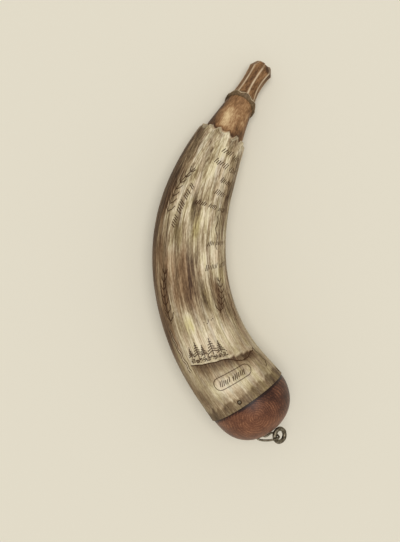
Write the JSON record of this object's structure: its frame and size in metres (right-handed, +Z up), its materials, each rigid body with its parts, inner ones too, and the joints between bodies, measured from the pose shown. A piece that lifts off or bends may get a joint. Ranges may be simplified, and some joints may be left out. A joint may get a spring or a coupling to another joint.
{
  "type": "powder horn",
  "caption": "Curved hollow powder horn with a scalloped shoulder, carved collar and faceted spout, a domed wooden base plug, and an iron staple and ring for the strap.",
  "frame": {"origin": "on the floor the horn lies on, under the middle of its box seen from above", "axes": "+Z up; +Y along the spout's bore, out of its mouth; the base plug points mostly to +X"},
  "size_m": [0.217, 0.3134, 0.0763],
  "materials": {
    "horn": "scraped and engraved cow horn, cream with brown and grey streaks, satin; brown at the neck and spout",
    "plug_wood": "turned reddish brown hardwood, oiled, end grain showing as rings",
    "iron": "hand-forged iron wire, dark and worn grey on the high places"
  },
  "bodies": {
    "root": {"horn": "horn", "base_plug": "plug_wood", "pin_1": "iron", "pin_2": "iron", "pin_3": "iron", "pin_4": "iron", "staple": "iron", "ring": "iron"}
  },
  "joints": []
}
